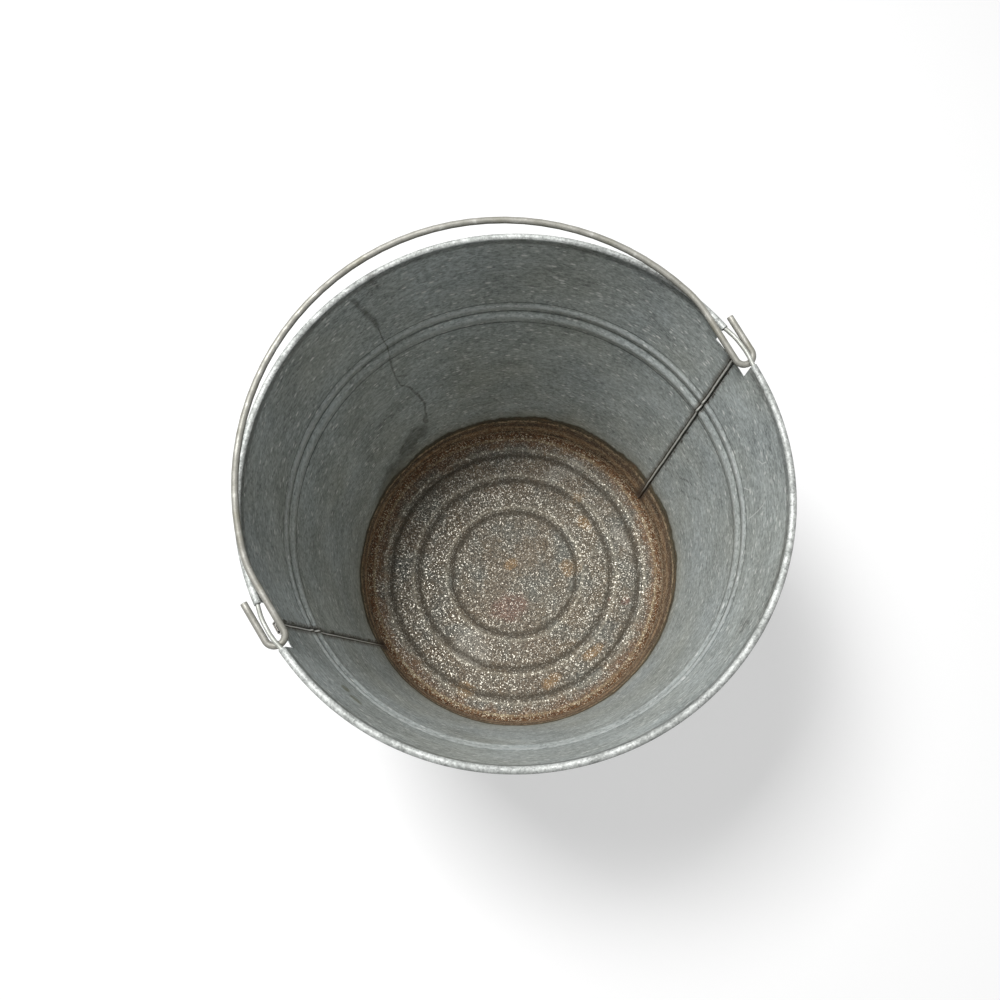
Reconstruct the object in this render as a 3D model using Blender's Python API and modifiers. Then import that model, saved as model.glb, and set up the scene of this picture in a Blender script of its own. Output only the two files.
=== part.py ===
"""Rusty galvanised bucket with a wire bail, in metres, +Z up.

The origin is on the ground, on the bucket's axis. The two ears are at +X and -X.
The bail leans towards +Y and lies on the curled rim, as it does when it is let fall.
"""

import math

import bmesh
import bpy
from mathutils import Vector

# Body
RIM_RADIUS = 0.150
BODY_HEIGHT = 0.258
FLOOR_RADIUS = 0.116
FLOOR_HEIGHT = 0.008
WALL_SHEET = 0.0005
BASE_SHEET = 0.0006
CLEARANCE = 0.0003

# Curled rim and the wire inside it
RIM_WIRE_RADIUS = 0.0013
CURL_TURN = math.radians(310)
CURL_FACETS = 8

# Two ridges rolled inwards round the wall: depth below the rim, half width and height of each
RIDGES = (
    (0.0780, 0.0060, 0.0014),
    (0.0672, 0.0040, 0.0009),
)

# Notch in the rim at each ear, where the wire is bare
NOTCH_HALF_WIDTH = 0.0135
NOTCH_DEPTH = 0.0125
WIRE_BOW = 0.0015

# Folded lock seam under each ear
SEAM_HOOK = 0.0017
SEAM_COVER = 0.0026
SEAM_TONGUE = 0.0010
SEAM_JOG = 0.0036
SEAM_JOG_RUN = 0.0016

# Hem at the foot, which holds the flange of the base
HEM_HEIGHT = 0.0050
HEM_CORNER = 0.00045
FLANGE_LIFT = 0.0004
BASE_CORNER = 0.0020

# Steps pressed into the base: radius of the dip of each, then its widths and heights
STEP_RADII = (0.0500, 0.0769, 0.0990)
STEP_LEAD = 0.0015
STEP_DIP = 0.0005
STEP_RUN = 0.0040
STEP_RISE = 0.0010

# Bail: its bow is a little wider than its hooks are apart, so it comes to rest on the rim
BAIL_WIRE_RADIUS = 0.0019
BOW_FULLNESS = 0.0034
BOW_CENTRE = 0.0115
HOOK_RADIUS = 0.0053
HOOK_LENGTH = 0.0280
HOOK_OFFSET = 0.0100
HOOK_FACETS = 8
BOW_FACETS = 40
ARM_SAMPLES = 12

SEGMENTS = 48

# Sizes that follow
HALF_SHEET = WALL_SHEET / 2
CURL_RADIUS = RIM_WIRE_RADIUS + CLEARANCE + HALF_SHEET
RIM_LINE_RADIUS = RIM_RADIUS - CURL_RADIUS - HALF_SHEET
RIM_LINE_Z = BODY_HEIGHT - CURL_RADIUS - HALF_SHEET
WALL_TOP_RADIUS = RIM_LINE_RADIUS - CURL_RADIUS
WALL_FLOOR_RADIUS = FLOOR_RADIUS + HALF_SHEET
WALL_SLOPE = (WALL_TOP_RADIUS - WALL_FLOOR_RADIUS) / (RIM_LINE_Z - FLOOR_HEIGHT)
SHEET_PITCH = WALL_SHEET + CLEARANCE
FLANGE_INSET = HALF_SHEET + CLEARANCE + BASE_SHEET / 2
HEM_INSET = FLANGE_INSET + BASE_SHEET / 2 + CLEARANCE + HALF_SHEET
HINGE_Z = RIM_LINE_Z - RIM_WIRE_RADIUS - CLEARANCE - BAIL_WIRE_RADIUS
NOTCH_ANGLE = NOTCH_HALF_WIDTH / RIM_LINE_RADIUS
LEG_HALF_SPAN = RIM_LINE_RADIUS - HOOK_RADIUS
BOW_RADIUS = LEG_HALF_SPAN + BOW_FULLNESS

COLOURS = {
    "zinc": ((0.27, 0.31, 0.30, 1.0), 0.55, 0.85),
    "floor": ((0.20, 0.15, 0.11, 1.0), 0.75, 0.45),
    "rim": ((0.36, 0.37, 0.34, 1.0), 0.45, 0.90),
    "bail": ((0.33, 0.31, 0.26, 1.0), 0.50, 0.90),
}


def clear_scene():
    for obj in list(bpy.data.objects):
        bpy.data.objects.remove(obj, do_unlink=True)


def make_material(name, finish):
    colour, roughness, metallic = COLOURS[finish]
    material = bpy.data.materials.new(name)
    material.use_nodes = True
    shader = material.node_tree.nodes["Principled BSDF"]
    shader.inputs["Base Color"].default_value = colour
    shader.inputs["Roughness"].default_value = roughness
    shader.inputs["Metallic"].default_value = metallic
    return material


def add_object(name, data, finish, collection, location=(0, 0, 0)):
    obj = bpy.data.objects.new(name, data)
    obj.location = location
    data.materials.append(make_material(name + "_" + finish, finish))
    collection.objects.link(obj)
    return obj


def add_shell(obj, thickness):
    """Gives an open sheet its thickness, half to each side."""
    solidify = obj.modifiers.new("sheet", "SOLIDIFY")
    solidify.thickness = thickness
    solidify.offset = 0
    solidify.use_even_offset = True
    solidify.use_quality_normals = True


def wall_radius(z):
    """Radius of the middle of the wall's sheet, without its ridges."""
    return WALL_FLOOR_RADIUS + (z - FLOOR_HEIGHT) * WALL_SLOPE


def foot_rows():
    """The hem, from its top edge inside the base's flange, under the foot and out to the wall."""
    low = HALF_SHEET
    corner = low + HEM_CORNER
    inner = wall_radius(low) - HEM_INSET
    outer = wall_radius(low)
    return [
        (wall_radius(HEM_HEIGHT) - HEM_INSET, HEM_HEIGHT),
        (wall_radius(corner) - HEM_INSET, corner),
        (inner + HEM_CORNER, low),
        (outer - HEM_CORNER, low),
    ]


def ridge_rows():
    """Both rolled ridges, each a raised cosine, from the lower one up."""
    rows = []
    for depth, half_width, height in RIDGES:
        for step in (-1.0, -0.5, 0.0, 0.5, 1.0):
            z = BODY_HEIGHT - depth + step * half_width
            inward = height * (1 + math.cos(math.pi * step)) / 2
            rows.append((wall_radius(z) - inward, z))
    return rows


def curl_rows():
    """The curl, from the top of the wall over the rim wire and round to its free edge."""
    rows = []
    for step in range(CURL_FACETS + 1):
        angle = math.pi - CURL_TURN * step / CURL_FACETS
        rows.append(
            (
                RIM_LINE_RADIUS + CURL_RADIUS * math.cos(angle),
                RIM_LINE_Z + CURL_RADIUS * math.sin(angle),
            )
        )
    return rows


def hook_columns():
    """The seam edge that folds outwards over itself: (along the wall from the seam, outwards)."""
    turn = SHEET_PITCH
    return [
        (SEAM_HOOK, 2 * turn),
        (-SEAM_HOOK, 2 * turn),
        (-SEAM_HOOK - turn, turn),
        (-SEAM_HOOK, 0),
        (0, 0),
    ]


def cover_columns():
    """The seam edge that jogs out, covers the hook and folds in under it."""
    turn = SHEET_PITCH
    return [
        (SEAM_JOG + SEAM_JOG_RUN, 0),
        (SEAM_JOG, 3 * turn),
        (-SEAM_COVER, 3 * turn),
        (-SEAM_COVER - turn, 2 * turn),
        (-SEAM_COVER, turn),
        (SEAM_TONGUE, turn),
    ]


def panel_columns(radius):
    """Angle and outward offset of each column of a half wall, at a row of this radius."""
    steps = SEGMENTS // 2
    columns = [(along / radius, out) for along, out in hook_columns()]
    columns.append((NOTCH_ANGLE, 0))
    columns += [(math.pi * step / steps, 0) for step in range(1, steps)]
    columns.append((math.pi - NOTCH_ANGLE, 0))
    columns += [(math.pi - along / radius, out) for along, out in cover_columns()]
    return columns


def make_wall_panel(name, turn, collection):
    """Half of the wall, from seam to seam, as one sheet with its hem, ridges, notches and curl."""
    foot = foot_rows()
    corner = HALF_SHEET + HEM_CORNER
    notch_z = BODY_HEIGHT - NOTCH_DEPTH
    plain = [(wall_radius(corner), corner)]
    notch = [(wall_radius(notch_z), notch_z)]
    rows = foot + plain + ridge_rows() + notch + curl_rows()
    notch_row = len(rows) - len(curl_rows()) - 1
    column_count = len(panel_columns(RIM_RADIUS))
    notch_end = len(hook_columns())
    notch_start = column_count - len(cover_columns()) - 1
    fold_end = hook_columns().index((-SEAM_HOOK, 0))
    fold_start = notch_start + 1

    bm = bmesh.new()
    bmesh.ops.create_grid(bm, x_segments=column_count - 1, y_segments=len(rows) - 1, size=0.5)
    cells = {}
    for vert in bm.verts:
        column = round((vert.co.x + 0.5) * (column_count - 1))
        row = round((vert.co.y + 0.5) * (len(rows) - 1))
        cells[vert] = (column, row)
    for vert, (column, row) in cells.items():
        radius, z = rows[row]
        angle, out = panel_columns(radius)[column]
        angle += turn
        reach = radius + out
        vert.co = Vector((reach * math.cos(angle), reach * math.sin(angle), z))

    def is_cut_away(face):
        columns = [cells[vert][0] for vert in face.verts]
        lowest_row = min(cells[vert][1] for vert in face.verts)
        beside_seam = max(columns) <= notch_end or min(columns) >= notch_start
        in_folds = max(columns) <= fold_end or min(columns) >= fold_start
        in_notch = beside_seam and lowest_row >= notch_row
        in_hem = in_folds and lowest_row < len(foot)
        return in_notch or in_hem

    cut = [face for face in bm.faces if is_cut_away(face)]
    bmesh.ops.delete(bm, geom=cut, context="FACES")
    bmesh.ops.recalc_face_normals(bm, faces=bm.faces)
    mesh = bpy.data.meshes.new(name)
    bm.to_mesh(mesh)
    bm.free()
    panel = add_object(name, mesh, "zinc", collection)
    mesh.shade_smooth()
    mesh.set_sharp_from_angle(angle=math.radians(35))
    add_shell(panel, WALL_SHEET)


def base_profile():
    """Middle of the base's sheet, from the axis out over the pressed steps and down the flange."""
    top = FLOOR_HEIGHT - BASE_SHEET / 2
    z = top - STEP_RISE * len(STEP_RADII)
    points = [(0, z)]
    for radius in STEP_RADII:
        points.append((radius - STEP_LEAD, z))
        points.append((radius, z - STEP_DIP))
        points.append((radius + STEP_RUN / 2, z + STEP_RISE / 2))
        z += STEP_RISE
        points.append((radius + STEP_RUN, z))
    bend_z = top - BASE_CORNER
    bend_x = wall_radius(bend_z) - FLANGE_INSET - BASE_CORNER
    for degrees in (90, 45, 0):
        angle = math.radians(degrees)
        points.append((bend_x + BASE_CORNER * math.cos(angle), bend_z + BASE_CORNER * math.sin(angle)))
    flange_z = WALL_SHEET + CLEARANCE + FLANGE_LIFT
    points.append((wall_radius(flange_z) - FLANGE_INSET, flange_z))
    return points


def make_base_pan(collection):
    """The pressed base, its flange turned down into the wall's hem."""
    points = base_profile()
    mesh = bpy.data.meshes.new("base_pan")
    edges = [(i, i + 1) for i in range(len(points) - 1)]
    mesh.from_pydata([(x, 0, z) for x, z in points], edges, [])
    pan = add_object("base_pan", mesh, "floor", collection)
    screw = pan.modifiers.new("turn", "SCREW")
    screw.axis = "Z"
    screw.steps = SEGMENTS
    screw.render_steps = SEGMENTS
    screw.use_merge_vertices = True
    screw.merge_threshold = 0.00001
    screw.use_smooth_shade = True
    add_shell(pan, BASE_SHEET)


def add_wire(name, points, radius, cyclic, finish, collection, location=(0, 0, 0)):
    """A round wire along these points."""
    curve = bpy.data.curves.new(name, "CURVE")
    curve.dimensions = "3D"
    curve.bevel_depth = radius
    curve.bevel_resolution = 2
    curve.use_fill_caps = not cyclic
    spline = curve.splines.new("POLY")
    spline.points.add(len(points) - 1)
    for point, (x, y, z) in zip(spline.points, points):
        point.co = (x, y, z, 1)
    spline.use_cyclic_u = cyclic
    spline.use_smooth = True
    return add_object(name, curve, finish, collection, location)


def make_rim_wire(collection):
    """The wire inside the curl. It shows at the two notches, where it is pulled out a little."""
    beside_ear = [NOTCH_ANGLE * share for share in (-1, -0.7, -0.35, 0, 0.35, 0.7, 1)]
    steps = SEGMENTS // 2
    angles = []
    for ear in (0, math.pi):
        angles += [ear + angle for angle in beside_ear]
        angles += [ear + math.pi * step / steps for step in range(1, steps)]
    points = []
    for angle in angles:
        from_ear = abs((angle + math.pi / 2) % math.pi - math.pi / 2)
        bow = WIRE_BOW * math.cos(math.pi / 2 * min(from_ear / NOTCH_ANGLE, 1)) ** 2
        radius = RIM_LINE_RADIUS + bow
        points.append((radius * math.cos(angle), radius * math.sin(angle), 0))
    centre = (0, 0, RIM_LINE_Z)
    add_wire("rim_wire", points, RIM_WIRE_RADIUS, True, "rim", collection, centre)


def bail_outline():
    """The bail laid flat, hinge along X: the +X half from its hook's end to the middle of the bow."""
    points = [(RIM_LINE_RADIUS + HOOK_RADIUS, HOOK_LENGTH)]
    for step in range(HOOK_FACETS + 1):
        angle = math.pi * step / HOOK_FACETS
        points.append(
            (
                RIM_LINE_RADIUS + HOOK_RADIUS * math.cos(angle),
                HOOK_RADIUS - HOOK_RADIUS * math.sin(angle),
            )
        )
    start = math.acos(LEG_HALF_SPAN / BOW_RADIUS)
    half = BOW_FACETS // 2
    for step in range(half + 1):
        angle = start + (math.pi / 2 - start) * step / half
        points.append((BOW_RADIUS * math.cos(angle), BOW_CENTRE + BOW_RADIUS * math.sin(angle)))
    return points


def arm_points():
    """Closely spaced points on one arm of the bail, from its hook to the middle of the bow."""
    outline = bail_outline()[HOOK_FACETS + 1 :]
    points = []
    for (x, reach), (next_x, next_reach) in zip(outline, outline[1:]):
        for step in range(ARM_SAMPLES):
            share = step / ARM_SAMPLES
            points.append((x + (next_x - x) * share, reach + (next_reach - reach) * share))
    return points


def gap_to_rim(tilt):
    """Least distance from the bail's centre line to the line inside the curled rim."""
    gaps = []
    for x, reach in arm_points():
        y = reach * math.cos(tilt) - HOOK_OFFSET
        z = HINGE_Z + reach * math.sin(tilt)
        gaps.append(math.hypot(math.hypot(x, y) - RIM_LINE_RADIUS, z - RIM_LINE_Z))
    return min(gaps)


def resting_tilt():
    """Angle above level at which the bail comes down on the rim."""
    touching = CURL_RADIUS + HALF_SHEET + BAIL_WIRE_RADIUS + CLEARANCE
    low = 0.0
    high = math.radians(45)
    for _ in range(40):
        middle = (low + high) / 2
        if gap_to_rim(middle) < touching:
            low = middle
        else:
            high = middle
    return high


def make_bail(collection):
    """The carrying wire, hooked under the bare rim wire at both ears."""
    half = bail_outline()
    outline = half + [(-x, reach) for x, reach in reversed(half[:-1])]
    points = [(x, reach, 0) for x, reach in outline]
    hinge = (0, -HOOK_OFFSET, HINGE_Z)
    bail = add_wire("bail", points, BAIL_WIRE_RADIUS, False, "bail", collection, hinge)
    bail.rotation_euler.x = resting_tilt()


def main():
    clear_scene()
    collection = bpy.data.collections.new("rusty_bucket")
    bpy.context.scene.collection.children.link(collection)
    make_wall_panel("wall_panel_back", 0, collection)
    make_wall_panel("wall_panel_front", math.pi, collection)
    make_base_pan(collection)
    make_rim_wire(collection)
    make_bail(collection)


main()
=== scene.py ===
"""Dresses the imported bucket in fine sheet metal, wires and weathered finishes.

All sizes are in metres, +Z is up, and the two ears are at +X and -X.
"""

import math

import bmesh
import bpy
from mathutils import Matrix, Vector


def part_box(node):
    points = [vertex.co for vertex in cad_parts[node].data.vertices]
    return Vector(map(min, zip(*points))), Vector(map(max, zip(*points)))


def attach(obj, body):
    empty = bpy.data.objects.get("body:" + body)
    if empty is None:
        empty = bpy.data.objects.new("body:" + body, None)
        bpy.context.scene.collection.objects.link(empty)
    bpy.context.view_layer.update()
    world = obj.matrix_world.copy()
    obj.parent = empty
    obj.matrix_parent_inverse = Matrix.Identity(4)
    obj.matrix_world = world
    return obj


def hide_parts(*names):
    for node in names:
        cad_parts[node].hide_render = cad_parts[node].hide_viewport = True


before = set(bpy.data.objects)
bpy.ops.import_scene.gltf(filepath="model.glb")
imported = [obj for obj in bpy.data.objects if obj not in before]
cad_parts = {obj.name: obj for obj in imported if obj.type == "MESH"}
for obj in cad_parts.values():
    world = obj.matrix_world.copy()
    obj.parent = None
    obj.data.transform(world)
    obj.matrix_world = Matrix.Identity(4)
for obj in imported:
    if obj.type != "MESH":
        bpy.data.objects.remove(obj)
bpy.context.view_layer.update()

bl_info = {
    "name": "Rusty Galvanised Bucket",
    "version": (1, 0, 0),
    "blender": (4, 5, 0),
    "location": "View3D > Sidebar > Bucket",
    "description": "Makes a galvanised bucket with lock seams, a rolled rim, a pressed base and a wire bail",
    "category": "Add Mesh",
}

# Sizes that the solids have
FLOOR_RADIUS = 0.116
FLOOR_HEIGHT = 0.008
CLEARANCE = 0.0003
# Each ridge: how far below the top it lies, its half width and how far it stands inwards
RIDGES = ((0.0780, 0.0060, 0.0014), (0.0672, 0.0040, 0.0009))
NOTCH_HALF_WIDTH = 0.0135
NOTCH_DEPTH = 0.0125
WIRE_BOW = 0.0015
CURL_TURN = math.radians(310)
SEAM_HOOK = 0.0017
SEAM_COVER = 0.0026
SEAM_TONGUE = 0.0010
HEM_HEIGHT = 0.0050
HEM_CORNER = 0.00045
FLANGE_LIFT = 0.0004
BASE_CORNER = 0.0020
STEP_RADII = (0.0500, 0.0769, 0.0990)
STEP_RISE = 0.0010
BOW_FULLNESS = 0.0034
BOW_CENTRE = 0.0115
HOOK_RADIUS = 0.0053
HOOK_LENGTH = 0.0280
HOOK_OFFSET = 0.0100
BAIL_TILT = math.radians(10.435)
ARM_FILLET = 0.060
# Middle of the base's sheet across a pressed step: how far out and how far up
STEP_RIPPLE = (
    (-0.0022, 0.0),
    (-0.0012, -0.0003),
    (0.0, -0.0006),
    (0.0010, -0.0001),
    (0.0018, 0.00035),
    (0.0026, 0.0004),
    (0.0036, 0.00075),
    (0.0046, 0.0010),
    (0.0055, 0.0010),
)

# The recess beside each seam, a little narrower than in the solids, as the photograph shows it
SEAM_JOG = 0.0031
SEAM_JOG_RUN = 0.0013

# The crust in the corner: radius and height above the floor of its inner side, the heights where it meets
# the wall, how deep it is sunk into the wall, and the column of points that plugs the foot of each seam
CRUST_SIDE = (
    (0.1108, -0.0002),
    (0.1122, 0.0003),
    (0.1136, 0.0008),
    (0.1148, 0.0018),
    (0.1157, 0.0032),
)
CRUST_TOP = 0.0130
CRUST_FOOT = 0.0070
CRUST_SUNK = 0.0001
CRUST_LUMPS = 0.0003
CRUST_PLUG = 0.00286
CRUST_PLUG_REACH = 0.0019

# How finely the pieces are made
PANEL_STEPS = 144
BASE_STEPS = 256
BASE_SPACING = 0.0025
CURL_STEPS = 20
CRUST_STEPS = 512
RIDGE_STEPS = 12
WELD_DISTANCE = 0.000005

# Which open edges of a panel are folded into a seam: how far off the line and how deep they may lie
EDGE_TOLERANCE = 0.00012
EDGE_DEPTH = 0.0016
# Half the length of the bare rim wire that is taken hold of to bow it out
BOW_GRIP = 0.0018
# How much thinner the bail is than its solid, and the bevel at the cut ends of its hooks
BAIL_SHY = 0.00002
HOOK_END_BEVEL = 0.0004
# How far below the rim wire's line the finish of the rolled rim starts, and its slack on the wall
RIM_FINISH_DROP = 0.0024
RIM_FINISH_SLACK = 0.0001

# Where the camera stood, and which way was forwards and up in its picture
CAMERA_PLACE = Vector((-0.0726, -0.1197, 0.7145))
CAMERA_FORWARD = Vector((0.1280, 0.2406, -0.9621))
CAMERA_UP = Vector((0.5085, 0.8170, 0.2720))
CAMERA_LENS = 32.28

# The place on the bucket's axis that the lamps face
LIT_PLACE = Vector((0, 0, 0.15))

# Length of a degree on the unrolled wall, at its middle radius
METRES_PER_DEGREE = 0.13 * math.pi / 180


def length_property(name, description, default, least):
    """A length that the user may change."""
    return bpy.props.FloatProperty(
        name=name,
        description=description,
        default=default,
        min=least,
        precision=4,
        unit="LENGTH",
    )


class BucketSizes(bpy.types.PropertyGroup):
    """Sizes of the sheet and the wires."""

    rim_width: length_property(
        "Rim width",
        "Width across the rolled rim, square to the line of the ears",
        round(2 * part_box("wall_panel_back")[1][1], 5),
        0.1,
    )
    body_height: length_property(
        "Body height",
        "Height from the ground to the top of the rolled rim",
        round(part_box("wall_panel_back")[1][2], 4),
        0.05,
    )
    wall_sheet: length_property("Wall sheet", "Thickness of the wall's sheet", 0.0005, 0.0002)
    base_sheet: length_property("Base sheet", "Thickness of the base's sheet", 0.0006, 0.0002)
    rim_wire_radius: length_property("Rim wire radius", "Radius of the rolled rim's wire", 0.0013, 0.0005)
    bail_wire_radius: length_property("Bail wire radius", "Radius of the carrying wire", 0.0019, 0.0005)


def colour_property(name, description, default):
    """A colour that the user may change."""
    return bpy.props.FloatVectorProperty(
        name=name,
        description=description,
        subtype="COLOR",
        size=4,
        min=0.0,
        max=1.0,
        default=default + (1.0,),
    )


class BucketFinish(bpy.types.PropertyGroup):
    """Colours and amounts of the weathering."""

    zinc: colour_property("Zinc", "Dull zinc of the wall", (0.430, 0.470, 0.470))
    worn_zinc: colour_property("Worn zinc", "Bright zinc where things rub it", (0.53, 0.555, 0.545))
    bail_zinc: colour_property("Bail zinc", "Warm grey zinc of the carrying wire", (0.335, 0.328, 0.296))
    grit: colour_property("Grit", "Grainy coat on the floor", (0.150, 0.118, 0.084))
    rust: colour_property("Rust", "Brown rust", (0.135, 0.062, 0.026))
    orange_rust: colour_property("Orange rust", "Fresh rust along the wall's foot", (0.275, 0.152, 0.062))
    # The dark dirt colour is also used for painted shade under the curl and under the rim's inner side
    soil_and_shade: colour_property("Soil", "Dark dirt in seams and corners", (0.030, 0.024, 0.016))
    fleck_amount: bpy.props.FloatProperty(
        name="Flecks",
        description="How many white flecks the wall has",
        default=0.55,
        min=0.0,
        max=1.0,
        subtype="FACTOR",
    )


def sizes():
    return bpy.context.scene.bucket_sizes


def finish():
    return bpy.context.scene.bucket_finish


def curl_radius():
    """Radius of the middle of the sheet where it is curled round the rim wire."""
    return sizes().rim_wire_radius + CLEARANCE + sizes().wall_sheet / 2


def rim_line():
    """Radius and height of the line in the middle of the rim wire."""
    reach = curl_radius() + sizes().wall_sheet / 2
    return sizes().rim_width / 2 - reach, sizes().body_height - reach


def wall_radius(z):
    """Radius of the middle of the wall's sheet, without its ridges."""
    line_radius, line_z = rim_line()
    foot = FLOOR_RADIUS + sizes().wall_sheet / 2
    slope = (line_radius - curl_radius() - foot) / (line_z - FLOOR_HEIGHT)
    return foot + (z - FLOOR_HEIGHT) * slope


def flange_inset():
    return sizes().wall_sheet / 2 + CLEARANCE + sizes().base_sheet / 2


# Modelling by hand: starting, selecting, extruding and finishing a piece


def open_piece(name):
    """Names the piece that was just added, sets its origin right and opens it for modelling."""
    piece = bpy.context.active_object
    piece.name = name
    piece.data.name = name
    bpy.ops.object.transform_apply(location=True, rotation=True, scale=True)
    bpy.ops.object.mode_set(mode="EDIT")
    return piece


def take_hold(piece):
    """Selects this piece alone and makes it the active one."""
    bpy.ops.object.select_all(action="DESELECT")
    piece.select_set(True)
    bpy.context.view_layer.objects.active = piece


def start_profile(name, radius, z):
    """A new piece that is one point, ready to be drawn out along a profile."""
    bpy.ops.object.select_all(action="DESELECT")
    bpy.ops.mesh.primitive_plane_add(size=0.001, location=(radius, 0, z))
    piece = open_piece(name)
    bpy.ops.mesh.select_mode(type="VERT")
    bpy.ops.mesh.select_all(action="SELECT")
    bpy.ops.mesh.merge(type="CENTER")
    return piece


def draw_profile(points):
    """Extrudes the selected point from each place of the profile to the next."""
    for (radius, z), (next_radius, next_z) in zip(points, points[1:]):
        move = (next_radius - radius, 0, next_z - z)
        bpy.ops.mesh.extrude_vertices_move(TRANSFORM_OT_translate={"value": move})


def spin_profile(steps, angle):
    """Spins all that is drawn round the bucket's axis."""
    bpy.ops.mesh.select_all(action="SELECT")
    bpy.ops.mesh.spin(steps=steps, angle=-angle, center=(0, 0, 0), axis=(0, 0, 1))
    bpy.ops.mesh.select_all(action="SELECT")
    bpy.ops.mesh.remove_doubles(threshold=WELD_DISTANCE)
    bpy.ops.mesh.normals_make_consistent(inside=False)


def select_faces(piece, is_wanted):
    """Selects the faces whose centre and normal pass the test."""
    bpy.ops.mesh.select_mode(type="FACE")
    bpy.ops.mesh.select_all(action="DESELECT")
    mesh = bmesh.from_edit_mesh(piece.data)
    for face in mesh.faces:
        if is_wanted(face.calc_center_median(), face.normal):
            face.select_set(True)
    bmesh.update_edit_mesh(piece.data)


def select_points(piece, is_wanted):
    """Selects the points whose place passes the test."""
    bpy.ops.mesh.select_mode(type="VERT")
    bpy.ops.mesh.select_all(action="DESELECT")
    mesh = bmesh.from_edit_mesh(piece.data)
    chosen = [vertex for vertex in mesh.verts if is_wanted(vertex.co)]
    if not chosen:
        raise RuntimeError("no point was found to select on " + piece.name)
    for vertex in chosen:
        vertex.select_set(True)
    bmesh.update_edit_mesh(piece.data)


def select_edges(piece, is_wanted):
    """Selects the open edges whose two ends pass the test."""
    bpy.ops.mesh.select_mode(type="EDGE")
    bpy.ops.mesh.select_all(action="DESELECT")
    mesh = bmesh.from_edit_mesh(piece.data)
    for edge in mesh.edges:
        if edge.is_boundary and is_wanted(edge.verts[0].co) and is_wanted(edge.verts[1].co):
            edge.select_set(True)
    bmesh.update_edit_mesh(piece.data)


def cut_square_to_y(piece, y, is_wanted):
    """Cuts the chosen faces along a plane square to Y, as with shears."""
    select_faces(piece, is_wanted)
    bpy.ops.mesh.bisect(plane_co=(0, y, 0), plane_no=(0, 1, 0))


def turn_back(pitch):
    """The moves that turn an edge back beside itself, two pitches further out."""
    less = pitch * 0.3
    more = pitch * 0.7
    return [(less, -more, 0), (more, -less, 0), (more, less, 0), (less, more, 0)]


def fold_edge(moves):
    """Extrudes the selected edge through each fold in turn."""
    for move in moves:
        bpy.ops.mesh.extrude_edges_move(TRANSFORM_OT_translate={"value": move})


def apply_modifier(piece, name, kind, **settings):
    modifier = piece.modifiers.new(name, kind)
    for key, value in settings.items():
        setattr(modifier, key, value)
    bpy.context.view_layer.objects.active = piece
    bpy.ops.object.modifier_apply(modifier=modifier.name)


def thicken(piece, thickness):
    """Gives an open sheet its thickness, half to each side."""
    apply_modifier(
        piece,
        "sheet",
        "SOLIDIFY",
        thickness=thickness,
        offset=0,
        use_even_offset=True,
        use_quality_normals=True,
    )


def smooth(piece, degrees=35):
    take_hold(piece)
    bpy.ops.object.shade_smooth_by_angle(angle=math.radians(degrees))


def give_finishes(piece, base, choices=()):
    """Gives a piece its main finish, and other finishes to the faces that pass a test."""
    piece.data.materials.clear()
    piece.data.materials.append(base)
    bpy.context.view_layer.objects.active = piece
    bpy.ops.object.mode_set(mode="EDIT")
    for material, is_wanted in choices:
        piece.data.materials.append(material)
        select_faces(piece, is_wanted)
        piece.active_material_index = len(piece.data.materials) - 1
        bpy.ops.object.material_slot_assign()
    bpy.ops.object.mode_set(mode="OBJECT")


# The wall


def hem_profile():
    """The hem, from its top edge inside the base's flange, round under the foot."""
    low = sizes().wall_sheet / 2
    corner = low + HEM_CORNER
    inset = flange_inset() + sizes().base_sheet / 2 + CLEARANCE + sizes().wall_sheet / 2
    inner = wall_radius(low) - inset
    outer = wall_radius(low)
    bend = HEM_CORNER * (1 - math.sqrt(0.5))
    return [
        (wall_radius(HEM_HEIGHT) - inset, HEM_HEIGHT),
        (wall_radius(corner) - inset, corner),
        (inner + bend, low + bend),
        (inner + HEM_CORNER, low),
        (outer - HEM_CORNER, low),
        (outer - bend, low + bend),
        (wall_radius(corner), corner),
    ]


def wall_profile():
    """The whole wall, from the hem over both ridges to the free edge of the curl."""
    points = hem_profile()
    first_ridge_z = sizes().body_height - RIDGES[0][0] - RIDGES[0][1]
    for step in range(1, 16):
        z = points[6][1] + (first_ridge_z - points[6][1]) * step / 16
        points.append((wall_radius(z), z))
    for depth, half_width, height in RIDGES:
        for step in range(RIDGE_STEPS + 1):
            share = 2 * step / RIDGE_STEPS - 1
            z = sizes().body_height - depth + share * half_width
            inward = height * (1 + math.cos(math.pi * share)) / 2
            points.append((wall_radius(z) - inward, z))
    notch_z = sizes().body_height - NOTCH_DEPTH
    last_z = points[-1][1]
    for step in range(1, 6):
        z = last_z + (notch_z - last_z) * step / 5
        points.append((wall_radius(z), z))
    points.append((wall_radius(notch_z + 0.005), notch_z + 0.005))
    line_radius, line_z = rim_line()
    for step in range(CURL_STEPS + 1):
        angle = math.pi - CURL_TURN * step / CURL_STEPS
        out = curl_radius() * math.cos(angle)
        up = curl_radius() * math.sin(angle)
        points.append((line_radius + out, line_z + up))
    return points


def cut_notches(piece):
    """Cuts away the curl and the top of the wall beside both seams."""
    notch_z = sizes().body_height - NOTCH_DEPTH
    cut_square_to_y(piece, NOTCH_HALF_WIDTH, lambda at, facing: at.z > notch_z)
    select_faces(piece, lambda at, facing: at.z > notch_z and at.y < NOTCH_HALF_WIDTH)
    bpy.ops.mesh.delete(type="FACE")


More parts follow.
